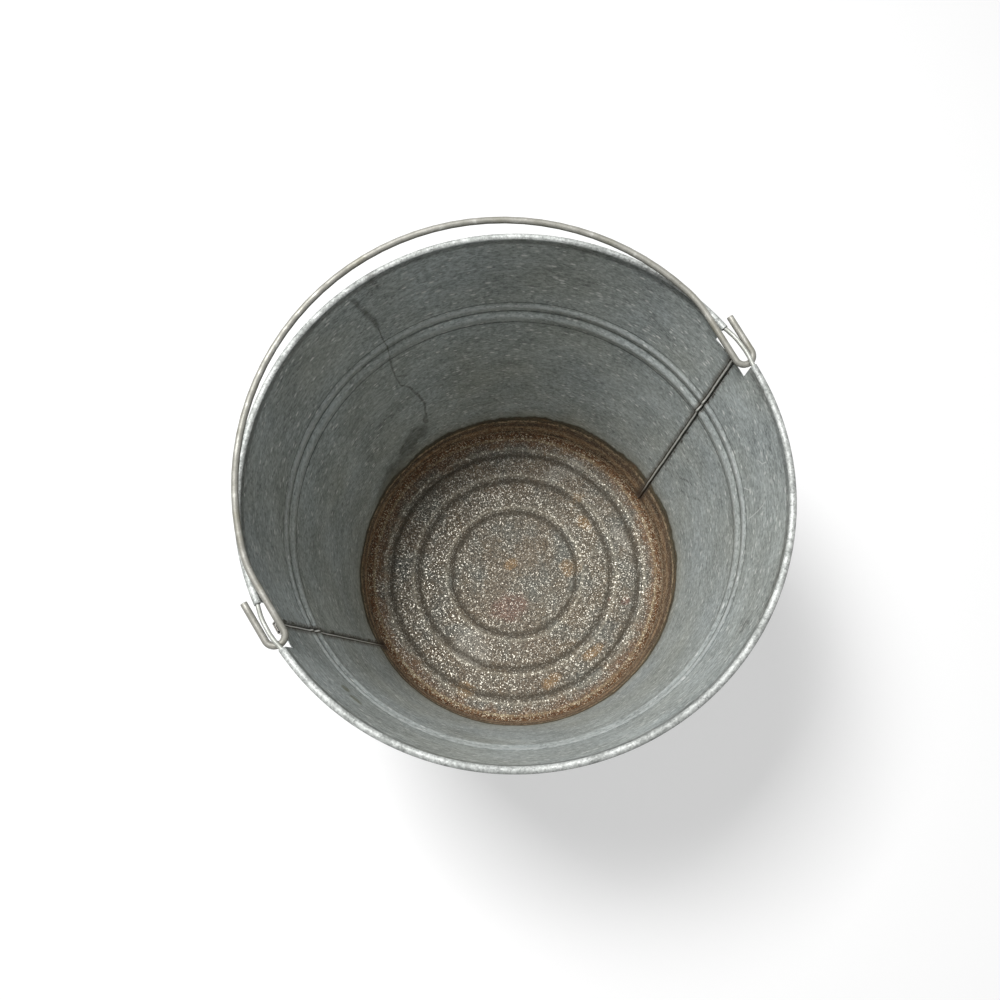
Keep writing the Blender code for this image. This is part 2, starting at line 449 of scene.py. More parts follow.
def fold_seams(piece):
    """Folds the edge at +X back outside itself, and the edge at -X over the next panel's fold."""
    pitch = sizes().wall_sheet + CLEARANCE
    low = sizes().wall_sheet / 2 + HEM_CORNER - 0.00001
    high = sizes().body_height - NOTCH_DEPTH + 0.00001

    def is_wall_edge(place, y):
        on_line = abs(place.y - y) < EDGE_TOLERANCE and low < place.z < high
        return on_line and math.hypot(place.x, place.y) > wall_radius(place.z) - EDGE_DEPTH

    select_edges(piece, lambda place: place.x > 0 and is_wall_edge(place, 0))
    fold_edge([(0, -SEAM_HOOK, 0)] + turn_back(pitch) + [(0, 2 * SEAM_HOOK, 0)])
    start = SEAM_JOG + SEAM_JOG_RUN
    cut_square_to_y(piece, start, lambda at, facing: at.x < 0 and at.y < 0.02)
    select_faces(piece, lambda at, facing: at.x < 0 and at.y < start)
    bpy.ops.mesh.delete(type="FACE")
    select_edges(piece, lambda place: place.x < 0 and is_wall_edge(place, start))
    fold_edge(
        [
            (-0.3 * pitch, -0.25 * SEAM_JOG_RUN, 0),
            (-2.4 * pitch, -0.5 * SEAM_JOG_RUN, 0),
            (-0.3 * pitch, -0.25 * SEAM_JOG_RUN, 0),
            (0, -SEAM_JOG - SEAM_COVER, 0),
        ]
        + turn_back(pitch)
        + [(0, SEAM_COVER + SEAM_TONGUE, 0)]
    )


def make_panel():
    """The half of the wall at +Y, as one sheet with its hem, ridges, notches, curl and seam folds."""
    profile = wall_profile()
    piece = start_profile("wall_sheet_back", *profile[0])
    draw_profile(profile)
    spin_profile(PANEL_STEPS, math.pi)
    if max(vertex.co.y for vertex in bmesh.from_edit_mesh(piece.data).verts) < 0.1:
        raise RuntimeError("the panel was spun to the wrong side")
    cut_notches(piece)
    fold_seams(piece)
    bpy.ops.mesh.select_all(action="SELECT")
    bpy.ops.mesh.normals_make_consistent(inside=False)
    bpy.ops.object.mode_set(mode="OBJECT")
    thicken(piece, sizes().wall_sheet)
    smooth(piece)
    return piece


def turned_copy(piece, name):
    """A copy with its own mesh, turned half round the bucket's axis."""
    take_hold(piece)
    bpy.ops.object.duplicate(linked=False)
    copy = bpy.context.active_object
    copy.name = name
    copy.data.name = name
    bpy.ops.object.mode_set(mode="EDIT")
    bpy.ops.mesh.select_all(action="SELECT")
    bpy.ops.transform.rotate(value=math.pi, orient_axis="Z", center_override=(0, 0, 0))
    bpy.ops.object.mode_set(mode="OBJECT")
    return copy


# The base


def base_profile():
    """Middle of the base's sheet, from its axis over the three pressed steps and down the flange."""
    top = FLOOR_HEIGHT - sizes().base_sheet / 2
    z = top - STEP_RISE * len(STEP_RADII)
    points = [(0.0, z)]
    for radius in STEP_RADII:
        last = points[-1][0]
        gap = radius + STEP_RIPPLE[0][0] - last
        count = max(1, round(gap / BASE_SPACING))
        points += [(last + gap * step / count, z) for step in range(1, count)]
        points += [(radius + out, z + up) for out, up in STEP_RIPPLE]
        z += STEP_RISE
    bend_z = top - BASE_CORNER
    bend_x = wall_radius(bend_z) - flange_inset() - BASE_CORNER
    last = points[-1][0]
    count = round((bend_x - last) / BASE_SPACING)
    points += [(last + (bend_x - last) * step / count, z) for step in range(1, count)]
    for degrees in (90, 67, 45, 22, 0):
        angle = math.radians(degrees)
        out = BASE_CORNER * math.cos(angle)
        up = BASE_CORNER * math.sin(angle)
        points.append((bend_x + out, bend_z + up))
    flange_z = sizes().wall_sheet + CLEARANCE + FLANGE_LIFT
    points.append((wall_radius(flange_z) - flange_inset(), flange_z))
    return points


def make_base():
    """The pressed base, drawn as a profile and spun."""
    profile = base_profile()
    piece = start_profile("base_sheet", *profile[0])
    draw_profile(profile)
    spin_profile(BASE_STEPS, 2 * math.pi)
    bpy.ops.object.mode_set(mode="OBJECT")
    thicken(piece, sizes().base_sheet)
    smooth(piece, 50)
    return piece


def make_corner_crust():
    """Dried dirt and rust in the corner between base and wall, which also fills the foot of both seams."""
    profile = [(radius, FLOOR_HEIGHT + up) for radius, up in CRUST_SIDE]
    for z in (CRUST_TOP, CRUST_FOOT):
        profile.append((wall_radius(z) - sizes().wall_sheet / 2 + CRUST_SUNK, z))
    plug_radius = CRUST_SIDE[-1][0] - 0.0002
    piece = start_profile("corner_crust", *profile[0])
    draw_profile(profile + profile[:1])
    spin_profile(CRUST_STEPS, 2 * math.pi)
    for side in (1, -1):
        select_points(
            piece, lambda at: abs(at.y * side + CRUST_PLUG) < 0.0003 and at.x * side > plug_radius
        )
        bpy.ops.transform.translate(value=(side * CRUST_PLUG_REACH, 0, 0))
    select_faces(piece, lambda at, facing: facing.z > 0.2)
    bpy.ops.transform.vertex_random(offset=CRUST_LUMPS, uniform=0.0, normal=1.0, seed=7)
    bpy.ops.object.mode_set(mode="OBJECT")
    smooth(piece, 60)
    return piece


# The wires


def make_rim_wire():
    """The wire inside the curl, pulled out a little where it is bare at the two notches."""
    line_radius, line_z = rim_line()
    bpy.ops.object.select_all(action="DESELECT")
    bpy.ops.mesh.primitive_torus_add(
        major_segments=288,
        minor_segments=14,
        major_radius=line_radius,
        minor_radius=sizes().rim_wire_radius,
        location=(0, 0, line_z),
    )
    piece = open_piece("rim_wire_round")
    for side in (1, -1):
        select_faces(piece, lambda at, facing: at.x * side > 0 and abs(at.y) < BOW_GRIP)
        bpy.ops.transform.translate(
            value=(side * WIRE_BOW, 0, 0),
            use_proportional_edit=True,
            proportional_edit_falloff="SMOOTH",
            proportional_size=NOTCH_HALF_WIDTH,
        )
    bpy.ops.object.mode_set(mode="OBJECT")
    smooth(piece, 60)
    return piece


def bend_wire(centre, degrees):
    """Carries the wire's selected end round a centre, in steps of about 4 degrees."""
    steps = max(3, round(abs(degrees) / 4))
    bpy.ops.mesh.spin(
        steps=steps,
        angle=-math.radians(degrees),
        center=(centre[0], centre[1], 0),
        axis=(0, 0, 1),
    )


def run_wire(distance):
    """Carries the wire's selected end straight along Y."""
    bpy.ops.mesh.extrude_edges_move(TRANSFORM_OT_translate={"value": (0, distance, 0)})


def make_bail():
    """The carrying wire, bent flat from hook to hook, then tilted on to the rim."""
    line_radius, line_z = rim_line()
    wire_radius = sizes().bail_wire_radius
    leg = line_radius - HOOK_RADIUS
    bow = leg + BOW_FULLNESS
    fillet_x = leg - ARM_FILLET
    fillet_y = BOW_CENTRE + math.sqrt((bow - ARM_FILLET) ** 2 - fillet_x**2)
    fillet_turn = math.degrees(math.atan2(fillet_y - BOW_CENTRE, fillet_x))
    bpy.ops.object.select_all(action="DESELECT")
    bpy.ops.mesh.primitive_circle_add(
        vertices=18,
        radius=wire_radius - BAIL_SHY,
        location=(line_radius + HOOK_RADIUS, HOOK_LENGTH, 0),
        rotation=(math.pi / 2, 0, 0),
    )
    piece = open_piece("bail_round")
    bpy.ops.mesh.select_mode(type="EDGE")
    bpy.ops.mesh.select_all(action="SELECT")
    run_wire(HOOK_RADIUS - HOOK_LENGTH)
    bend_wire((line_radius, HOOK_RADIUS), -180)
    run_wire(fillet_y - HOOK_RADIUS)
    bend_wire((fillet_x, fillet_y), fillet_turn)
    bend_wire((0, BOW_CENTRE), 180 - 2 * fillet_turn)
    bend_wire((-fillet_x, fillet_y), fillet_turn)
    run_wire(HOOK_RADIUS - fillet_y)
    bend_wire((-line_radius, HOOK_RADIUS), -180)
    run_wire(HOOK_LENGTH - HOOK_RADIUS)
    bpy.ops.mesh.select_all(action="SELECT")
    bpy.ops.mesh.remove_doubles(threshold=WELD_DISTANCE)
    bpy.ops.mesh.fill_holes(sides=0)
    bpy.ops.mesh.normals_make_consistent(inside=False)
    select_faces(
        piece,
        lambda at, facing: at.y > HOOK_LENGTH - 0.00001 and facing.y > 0.9 and abs(at.x) > line_radius,
    )
    bpy.ops.mesh.bevel(offset=HOOK_END_BEVEL, segments=3, affect="EDGES")
    bpy.ops.object.mode_set(mode="OBJECT")
    far_y = max(vertex.co.y for vertex in piece.data.vertices)
    if abs(far_y - (BOW_CENTRE + bow + wire_radius)) > 0.0005:
        raise RuntimeError("the bail was bent the wrong way")
    piece.rotation_euler = (BAIL_TILT, 0, 0)
    hinge_z = line_z - sizes().rim_wire_radius - CLEARANCE - wire_radius
    piece.location = (0, -HOOK_OFFSET, hinge_z)
    bpy.ops.object.transform_apply(location=True, rotation=True, scale=True)
    smooth(piece, 60)
    return piece


# Laying shader nodes


class Bench:
    """Lays shader nodes on a tree and joins them."""

    def __init__(self, tree):
        self.tree = tree
        self.laid = 0

    def join(self, value, socket):
        """Joins a value to a socket. A plain colour needs no alpha."""
        if isinstance(value, bpy.types.NodeSocket):
            self.tree.links.new(value, socket)
        elif socket.type == "RGBA":
            socket.default_value = tuple(value)[:3] + (1.0,)
        else:
            socket.default_value = value

    def join_all(self, sockets, **values):
        """Joins each value to the socket of its name, with a space for each underscore."""
        for name, value in values.items():
            self.join(value, sockets[name.replace("_", " ")])

    def add(self, kind, inputs=None, **settings):
        node = self.tree.nodes.new(kind)
        node.location = (190 * (self.laid % 10) - 2000, 300 - 260 * (self.laid // 10))
        self.laid += 1
        for name, value in settings.items():
            setattr(node, name, value)
        for name, value in (inputs or {}).items():
            self.join(value, node.inputs[name])
        return node

    def math(self, operation, *values, clamp=False):
        node = self.add("ShaderNodeMath", operation=operation, use_clamp=clamp)
        for socket, value in zip(node.inputs, values):
            self.join(value, socket)
        return node.outputs[0]

    def in_turn(self, operation, values):
        """The same operation carried on from each value to the next."""
        result = values[0]
        for value in values[1:]:
            result = self.math(operation, result, value)
        return result

    def plus(self, *values):
        return self.in_turn("ADD", values)

    def minus(self, *values):
        return self.in_turn("SUBTRACT", values)

    def times(self, *values):
        return self.in_turn("MULTIPLY", values)

    def most(self, *values):
        return self.in_turn("MAXIMUM", values)

    def vector(self, operation, *values):
        node = self.add("ShaderNodeVectorMath", operation=operation)
        for socket, value in zip(node.inputs, values):
            self.join(value, socket)
        is_number = operation in ("DOT_PRODUCT", "LENGTH", "DISTANCE")
        return node.outputs["Value" if is_number else "Vector"]

    def stretch(self, vector, scale):
        return self.vector("MULTIPLY", vector, scale)

    def apart(self, vector):
        """The X, Y and Z of a vector."""
        return self.add("ShaderNodeSeparateXYZ", {"Vector": vector}).outputs

    def fade(self, value, start, end, low=0.0, high=1.0):
        """Low where the value is at start, high where it is at end, and held beyond both."""
        node = self.add("ShaderNodeMapRange", clamp=True)
        for socket, given in zip(node.inputs, (value, start, end, low, high)):
            self.join(given, socket)
        return node.outputs[0]

    def near(self, value, centre, outer, inner, low=0.0, high=1.0):
        """High where the value lies within inner of the centre, and low beyond outer."""
        return self.fade(self.math("ABSOLUTE", self.minus(value, centre)), outer, inner, low, high)

    def blend(self, factor, first, second, kind="MIX"):
        node = self.add("ShaderNodeMix", data_type="RGBA", blend_type=kind)
        for index, value in ((0, factor), (6, first), (7, second)):
            self.join(value, node.inputs[index])
        return node.outputs[2]

    def paint(self, colour, over, mask, amount):
        """The colour with another laid over it, as much as the mask and the amount say."""
        return self.blend(self.times(mask, amount), colour, over)

    def tint(self, colour, tone):
        """The colour made darker or lighter by a tone."""
        grey = self.add("ShaderNodeCombineColor", {"Red": tone, "Green": tone, "Blue": tone}).outputs[0]
        return self.blend(1.0, colour, grey, "MULTIPLY")

    def between(self, factor, first, second):
        node = self.add("ShaderNodeMix", data_type="FLOAT")
        for index, value in ((0, factor), (2, first), (3, second)):
            self.join(value, node.inputs[index])
        return node.outputs[0]

    def ramp(self, value, stops):
        """The colour at this value, between stops that are each a place and a colour."""
        node = self.add("ShaderNodeValToRGB", {"Fac": value})
        elements = node.color_ramp.elements
        while len(elements) < len(stops):
            elements.new(0.5)
        for element, (place, colour) in zip(elements, stops):
            element.position = place
            element.color = colour + (1.0,)
        return node.outputs["Color"]

    def noise(self, vector, scale, detail=3.0, roughness=0.55, output="Fac"):
        inputs = {"Vector": vector, "Scale": scale, "Detail": detail, "Roughness": roughness}
        return self.add("ShaderNodeTexNoise", inputs).outputs[output]

    def cells(self, vector, scale, dimensions="3D"):
        """How far each point is from its cell's middle, and three numbers that each cell draws."""
        inputs = {"Vector": vector, "Scale": scale}
        outputs = self.add("ShaderNodeTexVoronoi", inputs, voronoi_dimensions=dimensions).outputs
        drawn = self.add("ShaderNodeSeparateColor", {"Color": outputs["Color"]}).outputs
        return outputs["Distance"], drawn

    def group(self, name, **inputs):
        """What a shared effect puts out. An underscore stands for a space in an input's name."""
        node = self.add("ShaderNodeGroup")
        node.node_tree = bpy.data.node_groups[name]
        self.join_all(node.inputs, **inputs)
        return node.outputs


FLOAT = "NodeSocketFloat"
VECTOR = "NodeSocketVector"
COLOUR = "NodeSocketColor"


def new_group(name, inputs, outputs):
    """A node group with these sockets: its bench, what comes in and where the results go."""
    tree = bpy.data.node_groups.new(name, "ShaderNodeTree")
    for label, kind, default in inputs:
        socket = tree.interface.new_socket(label, in_out="INPUT", socket_type=kind)
        if default is not None:
            socket.default_value = default
    for label, kind in outputs:
        tree.interface.new_socket(label, in_out="OUTPUT", socket_type=kind)
    bench = Bench(tree)
    entry = bench.add("NodeGroupInput").outputs
    results = bench.add("NodeGroupOutput").inputs
    return bench, entry, results


def make_wall_place():
    """Where a point is on the unrolled wall: metres round from +X, metres up, and the azimuth."""
    bench, entry, results = new_group(
        "wall_place",
        [("Position", VECTOR, None)],
        [("Spread", VECTOR), ("Azimuth", FLOAT), ("Height", FLOAT), ("Radius", FLOAT)],
    )
    apart = bench.apart(entry["Position"])
    azimuth = bench.times(bench.math("ARCTAN2", apart["Y"], apart["X"]), 180 / math.pi)
    along = bench.times(azimuth, METRES_PER_DEGREE)
    squares = bench.plus(bench.math("POWER", apart["X"], 2.0), bench.math("POWER", apart["Y"], 2.0))
    bench.join_all(
        results,
        Spread=bench.add("ShaderNodeCombineXYZ", {"X": along, "Y": apart["Z"]}).outputs[0],
        Azimuth=azimuth,
        Height=apart["Z"],
        Radius=bench.math("SQRT", squares),
    )


def make_line_mark():
    """A soft line from one place to another: 1 on the line, 0 beyond its half width."""
    bench, entry, results = new_group(
        "line_mark",
        [
            ("Place", VECTOR, None),
            ("From", VECTOR, None),
            ("To", VECTOR, None),
            ("Half Width", FLOAT, 0.001),
        ],
        [("Mask", FLOAT)],
    )
    reach = bench.vector("SUBTRACT", entry["Place"], entry["From"])
    run = bench.vector("SUBTRACT", entry["To"], entry["From"])
    reach_by_run = bench.vector("DOT_PRODUCT", reach, run)
    run_by_run = bench.vector("DOT_PRODUCT", run, run)
    share = bench.math("DIVIDE", reach_by_run, run_by_run, clamp=True)
    shares = bench.add("ShaderNodeCombineXYZ", {"X": share, "Y": share, "Z": share}).outputs[0]
    distance = bench.vector("DISTANCE", reach, bench.stretch(run, shares))
    core = bench.times(entry["Half Width"], 0.35)
    bench.join_all(results, Mask=bench.fade(distance, entry["Half Width"], core))


def make_blot():
    """A ragged oval: 1 in its middle, 0 outside its half sizes."""
    bench, entry, results = new_group(
        "blot",
        [
            ("Place", VECTOR, None),
            ("Centre", VECTOR, None),
            ("Per Size", VECTOR, (100.0, 100.0, 0.0)),
            ("Ragged", FLOAT, 0.0),
        ],
        [("Mask", FLOAT)],
    )
    away = bench.vector("SUBTRACT", entry["Place"], entry["Centre"])
    distance = bench.vector("LENGTH", bench.stretch(away, entry["Per Size"]))
    bench.join_all(results, Mask=bench.fade(bench.plus(distance, entry["Ragged"]), 1.0, 0.6))


# Each kind of fleck: cells per metre, how rare it is, and its smallest and largest size in cells
FLECK_KINDS = ((400.0, 0.62, 0.18, 0.46), (170.0, 0.80, 0.09, 0.17))


def make_zinc_bloom():
    """Dull zinc: clouds, streaks along the grain and white flecks, as a tone near 1, masks and a height."""
    bench, entry, results = new_group(
        "zinc_bloom",
        [
            ("Place", VECTOR, None),
            ("Grain", VECTOR, (1.0, 1.0, 1.0)),
            ("Streaks", FLOAT, 1.0),
            ("Flecks", FLOAT, 0.5),
        ],
        [("Tone", FLOAT), ("Cool", FLOAT), ("Fleck", FLOAT), ("Height", FLOAT)],
    )
    place = entry["Place"]
    along_grain = bench.stretch(place, entry["Grain"])
    most_of_grain = bench.stretch(entry["Grain"], (0.75, 0.75, 0.75))
    cell_place = bench.stretch(place, bench.vector("ADD", most_of_grain, (0.25, 0.25, 0.25)))
    cloud = bench.noise(place, 30.0, 5.0, 0.65)
    drawn = bench.noise(along_grain, 420.0, 3.0, 0.65)
    broad = bench.noise(along_grain, 95.0, 4.0, 0.65)
    mottle = bench.noise(place, 320.0, 3.0, 0.7)
    speck = bench.cells(cell_place, 1150.0)[1][0]
    streaks = bench.plus(bench.fade(drawn, 0.3, 0.7, -0.10, 0.10), bench.fade(broad, 0.3, 0.7, -0.12, 0.12))
    tone = bench.plus(
        bench.fade(cloud, 0.28, 0.72, -0.20, 0.20),
        bench.times(streaks, entry["Streaks"]),
        bench.fade(mottle, 0.3, 0.7, -0.20, 0.20),
        bench.fade(speck, 0.0, 1.0, -0.28, 0.28),
        1.0,
    )
    fleck = 0.0
    for grains, rarity, smallest, largest in FLECK_KINDS:
        distance, pick = bench.cells(cell_place, grains, "2D")
        is_fleck = bench.math("GREATER_THAN", pick[1], bench.fade(entry["Flecks"], 0.0, 1.0, 1.0, rarity))
        size = bench.fade(pick[2], 0.0, 1.0, smallest, largest)
        spot = bench.fade(distance, size, bench.times(size, 0.5))
        fleck = bench.most(fleck, bench.times(spot, is_fleck, bench.fade(pick[0], 0.0, 1.0, 0.30, 1.0)))
    fine = bench.noise(along_grain, 1300.0, 2.0, 0.5)
    scratched = bench.times(bench.fade(fine, 0.62, 0.70), bench.fade(broad, 0.46, 0.62, 0.0, 0.75))
    bench.join_all(
        results,
        Tone=tone,
        Cool=bench.noise(place, 14.0, 2.0),
        Fleck=bench.most(fleck, bench.times(scratched, entry["Flecks"])),
        Height=bench.plus(bench.times(drawn, 0.5), bench.times(broad, 0.8)),
    )


def make_rust_crust():
    """Crusty rust: brown with orange and dark grains, as a colour and a height."""
    bench, entry, results = new_group(
        "rust_crust",
        [
            ("Position", VECTOR, None),
            ("Brown", COLOUR, None),
            ("Orange", COLOUR, None),
            ("Dark", COLOUR, None),
            ("Freshness", FLOAT, 0.5),
        ],
        [("Color", COLOUR), ("Height", FLOAT)],
    )
    patches = bench.noise(entry["Position"], 70.0, 5.0, 0.65)
    grains = bench.noise(entry["Position"], 520.0, 3.0, 0.7)
    colour = bench.paint(entry["Brown"], entry["Orange"], bench.fade(patches, 0.38, 0.62), entry["Freshness"])
    colour = bench.blend(bench.fade(grains, 0.50, 0.30), colour, entry["Dark"])
    colour = bench.blend(bench.fade(grains, 0.60, 0.74, 0.0, 0.5), colour, entry["Orange"])
    bench.join_all(results, Color=colour, Height=bench.plus(bench.times(patches, 0.6), grains))


def make_grit_coat():
    """Fine grit: a tone for each grain, a mask of grains that are painted bright as glints, and a height."""
    bench, entry, results = new_group(
        "grit_coat",
        [("Position", VECTOR, None), ("Grains per Metre", FLOAT, 1250.0)],
        [("Tone", FLOAT), ("Glint", FLOAT), ("Height", FLOAT)],
    )
    grain = bench.cells(entry["Position"], entry["Grains per Metre"])[1]
    clump = bench.cells(entry["Position"], bench.times(entry["Grains per Metre"], 0.55))[1]
    clump_tone = bench.fade(clump[0], 0.0, 1.0, -0.16, 0.16)
    # The Glint mask marks grains to be painted bright as glints
    bench.join_all(
        results,
        Tone=bench.plus(bench.fade(grain[0], 0.0, 1.0, 0.40, 1.40), clump_tone),
        Glint=bench.fade(grain[1], 0.80, 0.97),
        Height=bench.times(grain[0], 0.8),
    )


def make_groups():
    """Makes every shared effect once."""
    if "wall_place" in bpy.data.node_groups:
        return
    make_wall_place()
    make_line_mark()
    make_blot()
    make_zinc_bloom()
    make_rust_crust()
    make_grit_coat()


def new_finish(name):
    """A material with its bench, its shader and the place of each point."""
    material = bpy.data.materials.new(name)
    material.use_nodes = True
    tree = material.node_tree
    bench = Bench(tree)
    shader = tree.nodes["Principled BSDF"]
    shader.location = (200, 300)
    tree.nodes["Material Output"].location = (520, 300)
    position = bench.add("ShaderNodeTexCoord").outputs["Object"]
    return material, bench, shader, position


def add_bump(bench, shader, height, distance, strength=0.9):
    bump = bench.add("ShaderNodeBump", {"Height": height, "Distance": distance, "Strength": strength})
    bench.join(bump.outputs[0], shader.inputs["Normal"])


def lay_rust(bench, position, freshness):
    """Rust in the colours that the user has chosen."""
    chosen = finish()
    return bench.group(
        "rust_crust",
        Position=position,
        Brown=chosen.rust,
        Orange=chosen.orange_rust,
        Dark=chosen.soil_and_shade,
        Freshness=freshness,
    )


def lay_zinc(bench, bloom):
    """The wall's dull zinc, here cooler and there greener, lighter and darker with the bloom."""
    colour = bench.blend(bench.fade(bloom["Cool"], 0.35, 0.65), finish().zinc, (0.395, 0.420, 0.395))
    return bench.tint(colour, bloom["Tone"])


# Marks of the inner wall, as in the photograph. A line is an azimuth and a height in mm at both ends and a
# half width in mm. A blot is an azimuth and a height, then its half width and half height in mm.
RUN_LINES = (
    ((97.7, 249), (94.6, 214), 2.6),
    ((94.6, 214), (94.6, 176), 0.8),
    ((94.8, 176), (95.3, 152), 1.1),
    ((95.3, 152), (95.0, 139), 0.8),
    ((95.0, 151), (91.9, 146), 0.9),
    ((95.0, 139), (92.8, 129), 1.1),
    ((92.8, 129), (90.6, 113), 1.5),
    ((90.6, 113), (89.6, 96), 1.5),
    ((89.6, 96), (90.4, 78), 1.3),
)
RUN_BLOTS = (
    (90.7, 76, 3, 7),
    (96.7, 63, 14, 14),
    (101.4, 52, 15, 15),
    (109.0, 43, 20, 14),
    (118.1, 34, 18, 10),
)
WHITE_LINES = (
    ((-22.2, 223), (-23.9, 227), 0.55),
    ((-23.9, 227), (-24.6, 233), 0.50),
    ((-26.2, 196), (-27.8, 204), 0.50),
    ((-32.4, 224), (-33.9, 213), 0.50),
    ((-33.9, 213), (-34.5, 199), 0.50),
    ((-20.4, 158), (-23.7, 157), 0.45),
    ((-38.0, 141), (-41.5, 149), 0.45),
    ((-41.5, 149), (-42.0, 143), 0.45),
    ((-42.0, 143), (-45.0, 152), 0.45),
    ((-158.0, 221), (-160.4, 226), 0.55),
)
WHITE_BLOTS = (
    (-18.9, 216, 1.2, 1.6),
    (-26.5, 228, 0.9, 2.2),
    (-23.7, 157, 1.4, 1.4),
    (-35.0, 219, 0.9, 2.0),
    (-47.0, 208, 0.9, 2.4),
)
DARK_LINES = (
    ((-9.0, 103), (-13.5, 117), 1.8),
    ((-12.5, 96), (-16.5, 104), 1.5),
    ((-3.0, 88), (-4.2, 95), 1.6),
    ((-17.8, 112), (-19.9, 122), 1.3),
)
DARK_BLOTS = (
    (-57.5, 197, 4.5, 3.2),
    (-63.0, 236, 6.0, 7.0),
    (3.3, 76, 2.0, 2.0),
    (-7.0, 128, 1.8, 2.6),
    (92.5, 250, 5.0, 8.0),
)
OLIVE_BLOTS = (
    (-158.9, 219, 5.5, 4.0),
    (-163.0, 214, 3.5, 5.0),
)
RIM_NICK = ((92.0, 256, 5.0, 4.0),)

# Marks of the floor: X, Y and both half sizes in mm
FLOOR_BLOTS = (
    (76.1, 25.8, 7.0, 5.0),
    (1.2, 7.5, 7.0, 5.0),
    (69.5, 5.1, 6.0, 8.0),
    (39.7, -20.2, 10.0, 8.0),
    (-20.8, -88.3, 9.0, 5.0),
    (16.6, -86.1, 12.0, 5.0),
    (-81.3, -58.1, 8.0, 8.0),
)
RED_BLOTS = (
    (-19.2, -22.5, 16.0, 13.0),
    (61.8, -66.1, 5.0, 3.5),
    (52.0, -58.0, 2.5, 2.0),
)
PALE_BLOTS = (
    (-60.9, -31.8, 16.0, 20.0),
    (88.0, -20.0, 6.0, 15.0),
    (72.0, 52.0, 12.0, 8.0),
    (88.0, 48.0, 9.0, 10.0),
)

# Heights of the ridges' crests with their half widths and how much wear and painted highlight they get,
# of the painted shade in the creases beside them with its half widths, and of the painted shade on the
# same ridges seen from outside
CREST_WEAR_AND_HIGHLIGHT = ((0.1793, 0.0048, 0.42), (0.1912, 0.0026, 0.78))
CREASE_SHADE = ((0.1736, 0.0010), (0.1863, 0.0013), (0.1953, 0.0007))
OUTER_HOLLOW_SHADE = (0.1800, 0.1908)

# The tide mark's azimuth where it is highest, its middle height and how far it swings
TIDE_TURN = 56.9
TIDE_HEIGHT = 0.044
TIDE_SWING = 0.010
TIDE_COLOURS = (
    (0.00, (0.210, 0.145, 0.090)),
    (0.22, (0.105, 0.066, 0.038)),
    (0.42, (0.190, 0.110, 0.055)),
    (0.58, (0.090, 0.056, 0.034)),
    (0.72, (0.120, 0.085, 0.052)),
    (0.87, (0.085, 0.072, 0.042)),
    (1.00, (0.055, 0.052, 0.034)),
)
# Lines of pale beads in the tide mark: the level, the half width and how strong they are
TIDE_BEADS = ((0.78, 0.06, 0.85), (0.44, 0.14, 0.45), (0.12, 0.10, 0.60))
# Dark lines at each pressed step, dirt and painted shade: how far out each lies, its half width and its
# strength
STEP_DIRT_AND_SHADE = ((-0.0006, 0.0034, 0.55), (0.0, 0.0013, 0.50), (0.0030, 0.0008, 0.40))


def wall_spot(azimuth, height_mm):
    """A place on the unrolled wall, from its azimuth in degrees and its height in millimetres."""
    return (azimuth * METRES_PER_DEGREE, height_mm / 1000, 0)


def floor_spot(x_mm, y_mm):
    """A place on the floor, from millimetres."""
    return (x_mm / 1000, y_mm / 1000, 0)


def draw_lines(bench, place, lines):
    """One mask for several lines."""
    masks = []
    for start, end, half_width in lines:
        ends = {"From": wall_spot(*start), "To": wall_spot(*end)}
        masks.append(bench.group("line_mark", Place=place, Half_Width=half_width / 1000, **ends)["Mask"])
    return bench.most(*masks)


def ragged_edge(bench, place, raggedness=0.4, grain=300.0):
    """How far the edge of a blot is moved in or out at each place, as a share of its size."""
    return bench.times(bench.minus(bench.noise(place, grain, 4.0), 0.5), 2.0 * raggedness)


def draw_blots(bench, place, blots, ragged, spot=wall_spot):
    """One mask for several blots."""
    masks = []
    for first, second, half_width, half_height in blots:
        oval = {"Centre": spot(first, second), "Per_Size": (1000 / half_width, 1000 / half_height, 0)}
        masks.append(bench.group("blot", Place=place, Ragged=ragged, **oval)["Mask"])
    return bench.most(*masks)


def seam_masks(bench, position):
    """At each seam inside: black dirt, painted shade in the recess, a soft brown stain and a painted
    highlight on the fold.
    """
    apart = bench.apart(position)
    across = bench.times(apart["Y"], bench.math("SIGN", apart["X"]))
    wander = bench.noise(position, 60.0, 2.0, 0.5)
    line = bench.plus(across, bench.fade(wander, 0.3, 0.7, -0.0002, 0.0002))
    blots = bench.noise(position, 150.0, 4.0, 0.7)
    black = bench.times(bench.near(line, -0.0009, 0.0008, 0.0003), bench.fade(blots, 0.34, 0.50, 0.55, 0.95))
    # Painted shade in the recess beside the fold
    recess_shade = bench.times(bench.near(line, -0.0030, 0.0010, 0.0006), 0.55)
    blobs = bench.times(bench.near(line, -0.0048, 0.0012, 0.0003), bench.fade(blots, 0.52, 0.60, 0.0, 0.85))
    foot = bench.times(
        bench.near(line, -0.0020, 0.0075, 0.0030),
        bench.fade(apart["Z"], 0.036, 0.020),
        bench.fade(blots, 0.35, 0.55, 0.55, 0.95),
    )
    stain = bench.times(bench.near(line, -0.0018, 0.0042, 0.0022), bench.fade(blots, 0.32, 0.60, 0.35, 0.80))
    # Painted highlight along the edge of the fold
    bright = bench.near(line, -0.0018, 0.0006, 0.0003)
    return bench.most(black, recess_shade, blobs, foot), stain, bright


